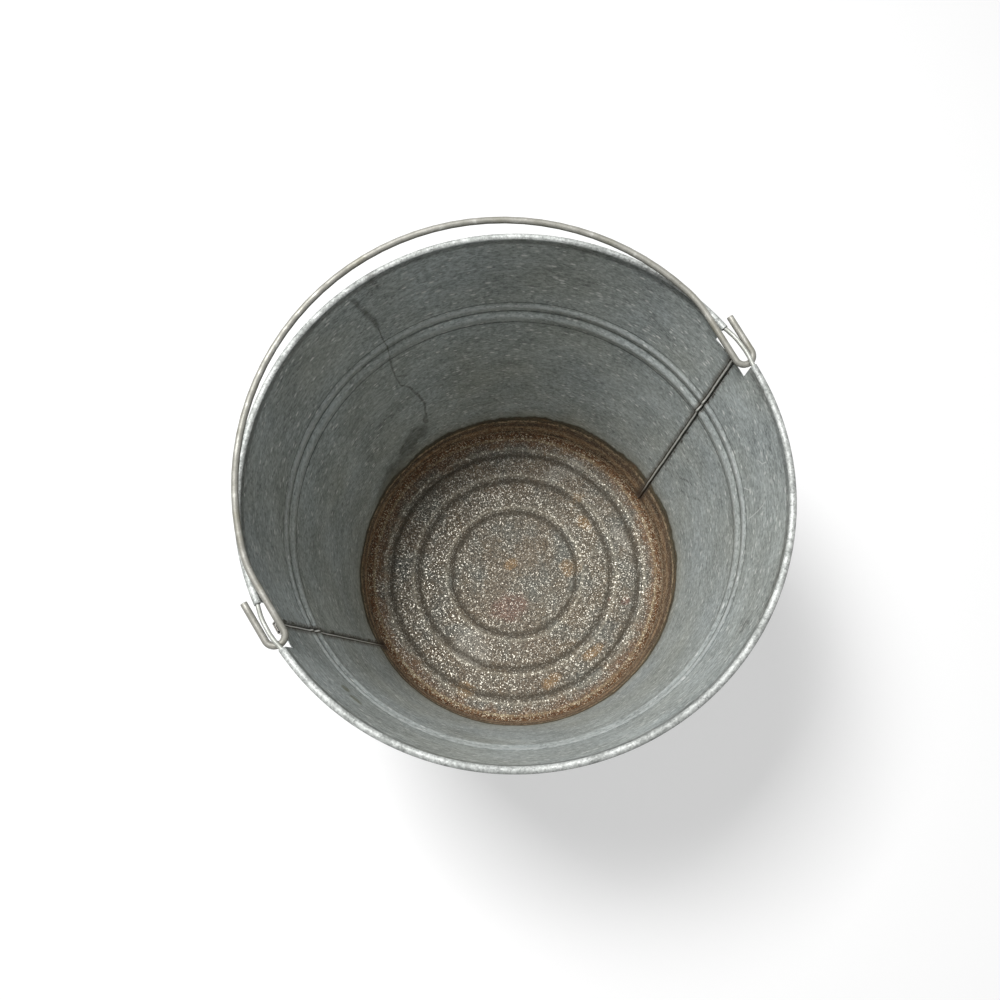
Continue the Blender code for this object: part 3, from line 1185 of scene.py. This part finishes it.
def lay_marks(bench, colour, position, spread, tone):
    """Scratches, dents, stains and the dried run on the inner wall: the colour, and where the run is."""
    wobble = bench.noise(position, 45.0, 2.0, 0.5, "Color")
    shift = bench.stretch(bench.vector("SUBTRACT", wobble, (0.5, 0.5, 0.5)), (0.006, 0.006, 0.0))
    place = bench.vector("ADD", spread, shift)
    ragged = ragged_edge(bench, place)
    white = bench.most(draw_lines(bench, place, WHITE_LINES), draw_blots(bench, place, WHITE_BLOTS, ragged))
    colour = bench.paint(colour, (0.74, 0.76, 0.74), white, 0.75)
    dark = bench.most(draw_lines(bench, place, DARK_LINES), draw_blots(bench, place, DARK_BLOTS, ragged))
    colour = bench.paint(colour, (0.10, 0.105, 0.10), dark, bench.fade(tone, 0.8, 1.2, 0.65, 0.25))
    colour = bench.paint(colour, (0.13, 0.13, 0.055), draw_blots(bench, place, OLIVE_BLOTS, ragged), 0.6)
    run_blots = draw_blots(bench, place, RUN_BLOTS, ragged_edge(bench, place, 0.7, 60.0))
    run = bench.most(draw_lines(bench, place, RUN_LINES), run_blots)
    run_tone = bench.fade(bench.noise(position, 180.0), 0.3, 0.6, 0.32, 0.62)
    return bench.paint(colour, (0.070, 0.066, 0.046), run, run_tone), run


def lay_tide(bench, colour, position, where, crust, coat):
    """The rusty tide mark along the foot of the inner wall: the colour, and where the wall is rusted."""
    height = where["Height"]
    turn = bench.times(bench.plus(where["Azimuth"], TIDE_TURN), math.pi / 180)
    tide = bench.plus(bench.times(bench.math("COSINE", turn), TIDE_SWING), TIDE_HEIGHT)
    ragged = bench.noise(bench.stretch(position, (1.0, 1.0, 0.6)), 38.0, 4.0, 0.60)
    tide = bench.plus(tide, bench.fade(ragged, 0.2, 0.8, -0.0055, 0.0055))
    below = bench.minus(tide, height)
    rusted = bench.fade(below, -0.0004, 0.0010)
    level = bench.math("DIVIDE", bench.minus(height, FLOOR_HEIGHT), bench.minus(tide, FLOOR_HEIGHT))
    level = bench.plus(level, bench.fade(ragged, 0.3, 0.7, -0.05, 0.05))
    colour = bench.blend(bench.fade(below, -0.0150, 0.0, 0.0, 0.42), colour, (0.300, 0.275, 0.205))
    patchy = bench.fade(bench.noise(position, 55.0, 4.0, 0.6), 0.42, 0.66, 0.05, 0.50)
    mixed = bench.blend(patchy, bench.ramp(level, TIDE_COLOURS), crust["Color"])
    arcs = bench.noise(bench.stretch(where["Spread"], (0.10, 1.0, 1.0)), 330.0, 4.0, 0.7)
    arc_tone = bench.fade(arcs, 0.36, 0.64, 0.40, 1.90)
    mixed = bench.tint(mixed, bench.times(bench.fade(coat["Tone"], 0.4, 1.4, 0.62, 1.38), arc_tone))
    # Painted glints on the grit of the tide mark, more towards the floor
    mixed = bench.paint(mixed, (0.80, 0.70, 0.50), coat["Glint"], bench.fade(level, 0.9, 0.2, 0.10, 0.75))
    beads = bench.noise(position, 330.0, 3.0, 0.7)
    for bead_level, half_width, amount in TIDE_BEADS:
        bead = bench.near(level, bead_level, half_width, half_width * 0.3)
        mixed = bench.paint(mixed, (0.62, 0.47, 0.30), bead, bench.fade(beads, 0.46, 0.58, 0.0, amount))
    colour = bench.blend(rusted, colour, mixed)
    edge_dirt = bench.times(bench.fade(below, -0.0025, 0.0002), bench.fade(below, 0.0040, 0.0006))
    return bench.paint(colour, (0.070, 0.062, 0.036), edge_dirt, 0.70), rusted


def make_wall_inside():
    """The inside of the wall: dull zinc with a rusty tide mark, a dried run, scratches and seam dirt, and
    painted highlights, glints and shade.
    """
    chosen = finish()
    material, bench, shader, position = new_finish("wall_inside")
    where = bench.group("wall_place", Position=position)
    height = where["Height"]
    spread = where["Spread"]
    flecks = chosen.fleck_amount
    bloom = bench.group("zinc_bloom", Place=spread, Grain=(0.30, 1.0, 1.0), Streaks=1.0, Flecks=flecks)
    tone = bloom["Tone"]
    colour = lay_zinc(bench, bloom)
    smear = bench.noise(bench.stretch(spread, (0.45, 1.0, 1.0)), 48.0, 5.0, 0.68)
    colour = bench.blend(bench.fade(smear, 0.55, 0.74, 0.0, 0.40), colour, (0.120, 0.130, 0.125))
    colour = bench.paint(colour, (0.92, 0.93, 0.90), bloom["Fleck"], 0.85)

    # The ridges: worn zinc and a painted highlight on their crests, and painted shade in the creases beside
    # them
    for z, half_width, wear in CREST_WEAR_AND_HIGHLIGHT:
        crest = bench.near(height, z, half_width, half_width * 0.6)
        worn = bench.fade(tone, 0.85, 1.25, wear * 0.4, wear * 1.3)
        colour = bench.paint(colour, chosen.worn_zinc, crest, worn)
    crease_shade_strength = bench.fade(bloom["Cool"], 0.35, 0.65, 0.85, 0.50)
    # Painted shade in the creases beside the ridges
    for z, half_width in CREASE_SHADE:
        crease = bench.near(height, z, half_width, half_width * 0.2)
        colour = bench.paint(colour, (0.05, 0.055, 0.05), crease, crease_shade_strength)
    colour, run = lay_marks(bench, colour, position, spread, tone)

    crust = lay_rust(bench, position, bench.fade(height, 0.034, 0.010, 0.15, 0.45))
    coat = bench.group("grit_coat", Position=position, Grains_per_Metre=1250.0)
    colour, rusted = lay_tide(bench, colour, position, where, crust, coat)

    seam_dirt_and_shade, seam_stain, bright = seam_masks(bench, position)
    colour = bench.blend(seam_stain, colour, (0.110, 0.098, 0.078))
    seam_colour = bench.blend(bench.fade(height, 0.120, 0.030, 0.0, 0.35), chosen.soil_and_shade, chosen.rust)
    colour = bench.blend(seam_dirt_and_shade, colour, seam_colour)
    # Painted highlight along each seam's fold, stronger higher up
    colour = bench.paint(colour, (0.78, 0.77, 0.72), bright, bench.fade(height, 0.025, 0.060, 0.05, 0.95))
    # Painted shade: a thin dark band just under the curl
    colour = bench.paint(colour, chosen.soil_and_shade, bench.fade(height, 0.2520, 0.2540), 0.45)

    dull = bench.most(rusted, seam_dirt_and_shade, run)
    rough = bench.fade(tone, 0.8, 1.2, 0.62, 0.46)
    bench.join_all(
        shader.inputs,
        Base_Color=colour,
        Metallic=bench.between(dull, 0.16, 0.05),
        Roughness=bench.between(dull, rough, 0.82),
    )
    crusty = bench.times(rusted, bench.plus(crust["Height"], coat["Height"]))
    add_bump(bench, shader, bench.plus(bench.times(bloom["Height"], 0.14), crusty), 0.0004)
    return material


def make_wall_outside():
    """The outside of the wall: dull zinc with runs, rust along the foot and beside the seams."""
    chosen = finish()
    material, bench, shader, position = new_finish("wall_outside")
    where = bench.group("wall_place", Position=position)
    height = where["Height"]
    grain = (1.0, 0.10, 1.0)
    bloom = bench.group("zinc_bloom", Place=where["Spread"], Grain=grain, Streaks=1.0, Flecks=0.35)
    colour = bench.paint(lay_zinc(bench, bloom), (0.60, 0.62, 0.60), bloom["Fleck"], 0.6)
    smear = bench.noise(bench.stretch(position, (1.0, 1.0, 0.22)), 42.0, 4.0, 0.62)
    colour = bench.blend(bench.fade(smear, 0.55, 0.72, 0.0, 0.40), colour, (0.12, 0.13, 0.12))
    pale = bench.noise(bench.stretch(position, (1.0, 1.0, 0.14)), 55.0, 4.0, 0.6)
    colour = bench.blend(bench.fade(pale, 0.60, 0.76, 0.0, 0.35), colour, chosen.worn_zinc)
    # Painted shade on the outside, over the grooves behind the ridges
    for z in OUTER_HOLLOW_SHADE:
        colour = bench.paint(colour, (0.10, 0.10, 0.085), bench.near(height, z, 0.0050, 0.0010), 0.35)

    ragged = bench.noise(bench.stretch(position, (1.0, 1.0, 0.30)), 70.0, 5.0, 0.68)
    reach = bench.fade(ragged, 0.30, 0.75, 0.0, 0.042)
    by_foot = bench.fade(bench.minus(height, reach), 0.010, -0.012)
    spots = bench.noise(position, 230.0, 4.0, 0.7)
    spotted = bench.fade(bench.plus(spots, bench.fade(height, 0.150, 0.010, 0.0, 0.10)), 0.685, 0.735)
    by_seam = bench.near(bench.apart(position)["Y"], 0.0, 0.012, 0.003)
    rusted = bench.most(by_foot, spotted, bench.times(by_seam, bench.fade(ragged, 0.42, 0.62), 0.7))
    crust = lay_rust(bench, position, 0.6)
    rough = bench.fade(bloom["Tone"], 0.8, 1.2, 0.58, 0.44)
    bench.join_all(
        shader.inputs,
        Base_Color=bench.paint(colour, crust["Color"], rusted, 0.9),
        Metallic=bench.between(rusted, 0.62, 0.06),
        Roughness=bench.between(rusted, rough, 0.82),
    )
    relief = bench.plus(bench.times(bloom["Height"], 0.14), bench.times(crust["Height"], rusted))
    add_bump(bench, shader, relief, 0.0003)
    return material


def make_rim_finish():
    """The rolled rim: zinc rubbed bright on top, with dull patches, small nicks and painted shade on its
    inner underside.
    """
    material, bench, shader, position = new_finish("rolled_rim")
    where = bench.group("wall_place", Position=position)
    bloom = bench.group("zinc_bloom", Place=position, Streaks=0.5, Flecks=0.6)
    patches = bench.noise(position, 85.0, 4.0, 0.62)
    bright = bench.noise(position, 240.0, 3.0, 0.6)
    pits = bench.noise(position, 420.0, 3.0, 0.7)
    colour = bench.blend(bench.fade(patches, 0.36, 0.58), (0.305, 0.32, 0.305), (0.43, 0.445, 0.43))
    colour = bench.tint(colour, bloom["Tone"])
    colour = bench.blend(bench.fade(bright, 0.52, 0.70, 0.0, 0.42), colour, (0.64, 0.66, 0.64))
    colour = bench.paint(colour, (0.14, 0.13, 0.10), bench.fade(pits, 0.36, 0.26), 0.6)
    nick = draw_blots(bench, where["Spread"], RIM_NICK, ragged_edge(bench, where["Spread"], 0.5))
    colour = bench.paint(colour, (0.10, 0.10, 0.09), nick, 0.65)
    # Painted shade on the inner underside of the curl
    inward = bench.minus(rim_line()[0] - 0.0007, where["Radius"])
    shade = bench.times(bench.fade(inward, 0.0, 0.0013), bench.fade(where["Height"], 0.2566, 0.2545))
    bench.join_all(
        shader.inputs,
        Base_Color=bench.paint(colour, finish().soil_and_shade, shade, 0.6),
        Metallic=0.30,
        Roughness=bench.fade(patches, 0.3, 0.7, 0.68, 0.52),
    )
    add_bump(bench, shader, bench.plus(bench.times(bright, 0.5), bench.times(pits, 0.5)), 0.0003, 0.6)
    return material


def make_floor_finish():
    """The base seen from above: grit with painted glints and rust, and dirt, painted shade and painted
    highlights at the pressed rings.
    """
    material, bench, shader, position = new_finish("base_grit")
    radius = bench.group("wall_place", Position=position)["Radius"]
    coat = bench.group("grit_coat", Position=position, Grains_per_Metre=1500.0)
    patches = bench.noise(position, 22.0, 5.0, 0.65)
    brownish = bench.noise(position, 48.0, 4.0, 0.65)
    bluish = bench.noise(position, 34.0, 4.0, 0.6)
    colour = bench.blend(bench.fade(patches, 0.35, 0.62), finish().grit, (0.170, 0.152, 0.118))
    colour = bench.blend(bench.fade(brownish, 0.48, 0.66, 0.0, 0.55), colour, (0.136, 0.094, 0.054))
    colour = bench.blend(bench.fade(bluish, 0.50, 0.66, 0.0, 0.55), colour, (0.125, 0.138, 0.128))
    flat = bench.stretch(position, (1.0, 1.0, 0.0))
    ragged = ragged_edge(bench, flat, 0.7, 90.0)
    orange = draw_blots(bench, flat, FLOOR_BLOTS, ragged, floor_spot)
    colour = bench.paint(colour, (0.32, 0.185, 0.070), orange, 0.45)
    red = draw_blots(bench, flat, RED_BLOTS, ragged, floor_spot)
    colour = bench.paint(colour, (0.20, 0.075, 0.055), red, 0.35)
    pale = draw_blots(bench, flat, PALE_BLOTS, ragged_edge(bench, flat, 0.7, 70.0), floor_spot)
    colour = bench.paint(colour, (0.36, 0.345, 0.30), pale, 0.40)
    colour = bench.tint(colour, coat["Tone"])

    # Painted highlight just outside each pressed step, where more glints are painted too
    step_highlight = 0.0
    for ring in STEP_RADII:
        step_highlight = bench.most(step_highlight, bench.near(radius, ring + 0.0044, 0.0022, 0.0006, 0.0, 0.9))
    glint_share = bench.most(bench.fade(patches, 0.32, 0.62, 0.45, 0.85), step_highlight)
    glint_share = bench.times(glint_share, bench.fade(radius, 0.030, 0.058, 0.55, 1.0))
    # Painted glints on the grit
    colour = bench.paint(colour, (0.84, 0.80, 0.69), coat["Glint"], glint_share)
    colour = bench.paint(colour, (0.50, 0.46, 0.36), step_highlight, 0.22)
    wander = bench.fade(bench.noise(position, 60.0), 0.3, 0.7, -0.0008, 0.0008)
    wavy = bench.plus(radius, wander)
    # Dirt and painted shade along each pressed step
    for ring in STEP_RADII:
        for offset, half_width, amount in STEP_DIRT_AND_SHADE:
            line = bench.near(wavy, ring + offset, half_width, half_width * 0.3, 0.0, amount)
            colour = bench.blend(line, colour, (0.055, 0.044, 0.028))

    crust = lay_rust(bench, position, 0.5)
    edge = bench.plus(radius, bench.fade(brownish, 0.3, 0.7, -0.006, 0.006))
    rusted = bench.fade(edge, 0.1035, 0.1105)
    gritty_rust = bench.tint(crust["Color"], bench.fade(coat["Tone"], 0.4, 1.4, 0.6, 1.5))
    # Painted glints on the rusty grit
    gritty_rust = bench.paint(gritty_rust, (0.75, 0.66, 0.50), coat["Glint"], 0.6)
    bench.join_all(
        shader.inputs,
        Base_Color=bench.paint(colour, gritty_rust, rusted, 0.62),
        Metallic=bench.between(rusted, bench.fade(coat["Glint"], 0.0, 1.0, 0.25, 0.55), 0.05),
        Roughness=bench.fade(coat["Glint"], 0.0, 1.0, 0.72, 0.42),
    )
    add_bump(bench, shader, bench.plus(coat["Height"], bench.times(crust["Height"], 0.4)), 0.0005)
    return material


def make_crust_finish():
    """The crust in the corner: dark rust and dirt with golden grains and painted glints."""
    material, bench, shader, position = new_finish("corner_rust")
    radius = bench.group("wall_place", Position=position)["Radius"]
    crust = lay_rust(bench, position, 0.22)
    coat = bench.group("grit_coat", Position=position, Grains_per_Metre=1500.0)
    patches = bench.noise(position, 40.0, 3.0, 0.6)
    golden = bench.fade(patches, 0.38, 0.62, 0.35, 0.90)
    colour = bench.paint(crust["Color"], (0.31, 0.245, 0.150), bench.fade(radius, 0.1142, 0.1124), golden)
    colour = bench.tint(colour, bench.fade(coat["Tone"], 0.3, 1.5, 0.45, 1.45))
    # Painted glints on the crust
    glint_share = bench.fade(patches, 0.30, 0.60, 0.30, 0.90)
    bench.join_all(
        shader.inputs,
        Base_Color=bench.paint(colour, (0.95, 0.86, 0.64), coat["Glint"], glint_share),
        Roughness=bench.fade(coat["Glint"], 0.0, 1.0, 0.80, 0.45),
    )
    add_bump(bench, shader, bench.plus(coat["Height"], crust["Height"]), 0.0005)
    return material


def make_underside_finish():
    """The underside of the base, hidden from rain: zinc with rust bloom."""
    material, bench, shader, position = new_finish("base_underside")
    bloom = bench.group("zinc_bloom", Place=position, Streaks=0.4, Flecks=0.3)
    colour = bench.tint(finish().zinc, bloom["Tone"])
    rusted = bench.fade(bench.noise(position, 30.0, 5.0, 0.68), 0.46, 0.58)
    crust = lay_rust(bench, position, 0.5)
    bench.join_all(
        shader.inputs,
        Base_Color=bench.paint(colour, crust["Color"], rusted, 0.85),
        Metallic=bench.between(rusted, 0.55, 0.05),
        Roughness=bench.between(rusted, 0.50, 0.85),
    )
    add_bump(bench, shader, bench.times(crust["Height"], rusted), 0.0003)
    return material


def make_wire_finish(name, zinc, olive_amount):
    """A zinc wire: warm grey, mottled, with olive stains, dull spots and rubbed highlights."""
    material, bench, shader, position = new_finish(name)
    mottled = bench.noise(position, 150.0, 4.0, 0.65)
    patches = bench.noise(position, 42.0, 4.0, 0.6)
    fine = bench.noise(position, 700.0, 3.0, 0.7)
    dark_zinc = (zinc[0] * 0.68, zinc[1] * 0.68, zinc[2] * 0.66)
    colour = bench.blend(bench.fade(mottled, 0.32, 0.68), dark_zinc, zinc)
    colour = bench.blend(bench.fade(patches, 0.52, 0.70, 0.0, olive_amount), colour, (0.19, 0.18, 0.125))
    colour = bench.blend(bench.fade(mottled, 0.60, 0.74, 0.0, 0.55), colour, (0.60, 0.60, 0.565))
    bench.join_all(
        shader.inputs,
        Base_Color=bench.blend(bench.fade(fine, 0.38, 0.26, 0.0, 0.7), colour, (0.10, 0.085, 0.06)),
        Metallic=0.40,
        Roughness=bench.fade(mottled, 0.3, 0.7, 0.60, 0.44),
    )
    add_bump(bench, shader, bench.plus(bench.times(mottled, 0.6), bench.times(fine, 0.4)), 0.0003, 0.7)
    return material


# The stage


def where_seen(bench):
    """1 where the stage is seen or mirrored, 0 where it only lights the bucket."""
    ray = bench.add("ShaderNodeLightPath").outputs
    return bench.most(ray["Is Camera Ray"], ray["Is Glossy Ray"], ray["Is Transmission Ray"])


def make_stage_floor():
    """A plain pale floor, which the camera sees as near white with a soft shadow."""
    bpy.ops.object.select_all(action="DESELECT")
    bpy.ops.mesh.primitive_plane_add(size=6, location=(0, 0, 0))
    floor = bpy.context.active_object
    floor.name = "studio_floor"
    material = bpy.data.materials.new("studio_floor_paint")
    material.use_nodes = True
    bench = Bench(material.node_tree)
    shader = material.node_tree.nodes["Principled BSDF"]
    shader.inputs["Base Color"].default_value = (0.52, 0.52, 0.52, 1.0)
    shader.inputs["Roughness"].default_value = 0.9
    shader.inputs["Specular IOR Level"].default_value = 0.0
    shader.inputs["Emission Color"].default_value = (1.0, 1.0, 1.0, 1.0)
    bench.join(bench.times(where_seen(bench), 0.48), shader.inputs["Emission Strength"])
    floor.data.materials.append(material)


def make_world():
    """A white room: full white where it is seen or mirrored, softer where it lights."""
    world = bpy.data.worlds.new("studio")
    bpy.context.scene.world = world
    world.use_nodes = True
    bench = Bench(world.node_tree)
    background = world.node_tree.nodes["Background"]
    background.inputs["Color"].default_value = (1.0, 1.0, 1.0, 1.0)
    bench.join(bench.between(where_seen(bench), 0.19, 0.95), background.inputs["Strength"])


def add_softbox(name, azimuth, elevation, distance, size, power):
    """A square lamp that faces the bucket from this direction."""
    turn = Matrix.Rotation(math.radians(azimuth), 3, "Z") @ Matrix.Rotation(-math.radians(elevation), 3, "Y")
    direction = turn @ Vector((1, 0, 0))
    bpy.ops.object.light_add(type="AREA", location=LIT_PLACE + direction * distance)
    lamp = bpy.context.active_object
    lamp.name = name
    lamp.data.shape = "SQUARE"
    lamp.data.size = size
    lamp.data.energy = power
    lamp.rotation_euler = direction.to_track_quat("Z", "Y").to_euler()


def place_camera():
    """The camera where the photographer stood, above the bucket and to its -Y side."""
    bpy.ops.object.camera_add(location=CAMERA_PLACE)
    camera = bpy.context.active_object
    camera.name = "camera"
    backward = -CAMERA_FORWARD.normalized()
    right = CAMERA_UP.cross(backward).normalized()
    up = backward.cross(right)
    camera.rotation_euler = Matrix((right, up, backward)).transposed().to_euler()
    camera.data.lens = CAMERA_LENS
    camera.data.sensor_width = 36
    camera.data.clip_start = 0.01
    bpy.context.scene.camera = camera


class BUCKET_OT_walls(bpy.types.Operator):
    """Make both panels of the wall, with their ridges, notches, curl, hem and seam folds"""

    bl_idname = "bucket.walls"
    bl_label = "Wall Panels"

    def execute(self, context):
        make_groups()
        inside = make_wall_inside()
        outside = make_wall_outside()
        rim = make_rim_finish()
        back = make_panel()
        line_z = rim_line()[1]

        def is_outside(at, facing):
            return at.x * facing.x + at.y * facing.y > 0

        def is_rim(at, facing):
            slack = RIM_FINISH_SLACK if at.z < line_z else 0.0
            is_high = at.z > line_z - RIM_FINISH_DROP
            return is_high and math.hypot(at.x, at.y) > wall_radius(at.z) - slack

        give_finishes(back, inside, ((outside, is_outside), (rim, is_rim)))
        front = turned_copy(back, "wall_sheet_front")
        for piece, node in ((back, "wall_panel_back"), (front, "wall_panel_front")):
            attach(piece, "bucket")
            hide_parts(node)
        return {"FINISHED"}


class BUCKET_OT_base(bpy.types.Operator):
    """Make the pressed base with its three steps and its flange, and the crust in its corner"""

    bl_idname = "bucket.base"
    bl_label = "Pressed Base"

    def execute(self, context):
        make_groups()
        piece = make_base()
        underside = make_underside_finish()
        give_finishes(piece, make_floor_finish(), ((underside, lambda at, facing: facing.z < 0),))
        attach(piece, "bucket")
        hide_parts("base_pan")
        crust = make_corner_crust()
        give_finishes(crust, make_crust_finish())
        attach(crust, "bucket")
        return {"FINISHED"}


class BUCKET_OT_rim_wire(bpy.types.Operator):
    """Make the wire inside the rolled rim"""

    bl_idname = "bucket.rim_wire"
    bl_label = "Rim Wire"

    def execute(self, context):
        piece = make_rim_wire()
        give_finishes(piece, make_wire_finish("rim_wire_zinc", (0.44, 0.45, 0.42), 0.3))
        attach(piece, "bucket")
        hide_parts("rim_wire")
        return {"FINISHED"}


class BUCKET_OT_bail(bpy.types.Operator):
    """Make the carrying wire with its two open hooks"""

    bl_idname = "bucket.bail"
    bl_label = "Bail"

    def execute(self, context):
        piece = make_bail()
        give_finishes(piece, make_wire_finish("bail_zinc", finish().bail_zinc, 0.7))
        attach(piece, "bail")
        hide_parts("bail")
        return {"FINISHED"}


class BUCKET_OT_stage(bpy.types.Operator):
    """Set the pale floor, the soft lamps and the camera"""

    bl_idname = "bucket.stage"
    bl_label = "Studio"

    def execute(self, context):
        context.scene.view_settings.view_transform = "Standard"
        make_stage_floor()
        make_world()
        add_softbox("key_softbox", 107.5, 67, 1.6, 0.5, 31.0)
        add_softbox("top_softbox", -60, 86, 1.8, 1.2, 2.5)
        place_camera()
        return {"FINISHED"}


MAKERS = (BUCKET_OT_walls, BUCKET_OT_base, BUCKET_OT_rim_wire, BUCKET_OT_bail, BUCKET_OT_stage)


class BUCKET_PT_sidebar(bpy.types.Panel):
    """Lists what the bucket is made of"""

    bl_idname = "BUCKET_PT_sidebar"
    bl_label = "Galvanised Bucket"
    bl_space_type = "VIEW_3D"
    bl_region_type = "UI"
    bl_category = "Bucket"

    def draw(self, context):
        layout = self.layout
        for settings in (context.scene.bucket_sizes, context.scene.bucket_finish):
            box = layout.box()
            for name in settings.__annotations__:
                box.prop(settings, name)
        for maker in MAKERS:
            layout.operator(maker.bl_idname)


CLASSES = (BucketSizes, BucketFinish) + MAKERS + (BUCKET_PT_sidebar,)


def register():
    for kind in CLASSES:
        bpy.utils.register_class(kind)
    bpy.types.Scene.bucket_sizes = bpy.props.PointerProperty(type=BucketSizes)
    bpy.types.Scene.bucket_finish = bpy.props.PointerProperty(type=BucketFinish)


def unregister():
    del bpy.types.Scene.bucket_finish
    del bpy.types.Scene.bucket_sizes
    for kind in reversed(CLASSES):
        bpy.utils.unregister_class(kind)


def main():
    register()
    bpy.ops.bucket.walls()
    bpy.ops.bucket.base()
    bpy.ops.bucket.rim_wire()
    bpy.ops.bucket.bail()
    bpy.ops.bucket.stage()


if __name__ == "__main__":
    main()
